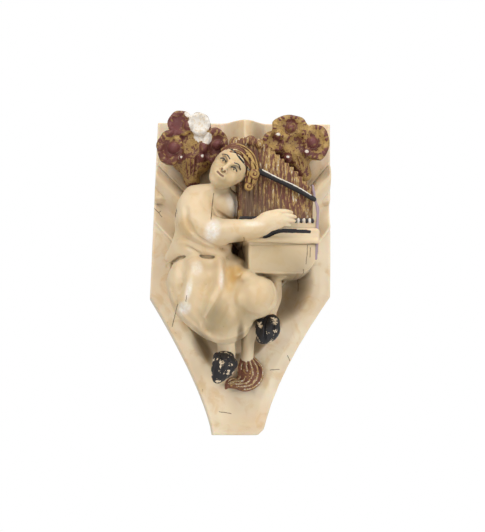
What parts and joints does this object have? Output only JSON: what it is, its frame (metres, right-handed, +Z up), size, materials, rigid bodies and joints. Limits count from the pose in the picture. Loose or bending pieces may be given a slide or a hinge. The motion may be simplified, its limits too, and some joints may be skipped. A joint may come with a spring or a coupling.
{
  "type": "figured stone corbel",
  "caption": "Carved stone corbel: a tapered wall block with two leaf bosses and a seated player of a small portative organ in high relief.",
  "frame": {"origin": "middle of the flat back, where the corbel meets the wall", "axes": "+X to the viewer's right, +Y into the wall, +Z up"},
  "size_m": [0.1353, 0.094, 0.236],
  "materials": {
    "stone": "waxed translucent alabaster with worn paint and gilding"
  },
  "bodies": {
    "root": {"corbel": "stone"}
  },
  "joints": []
}
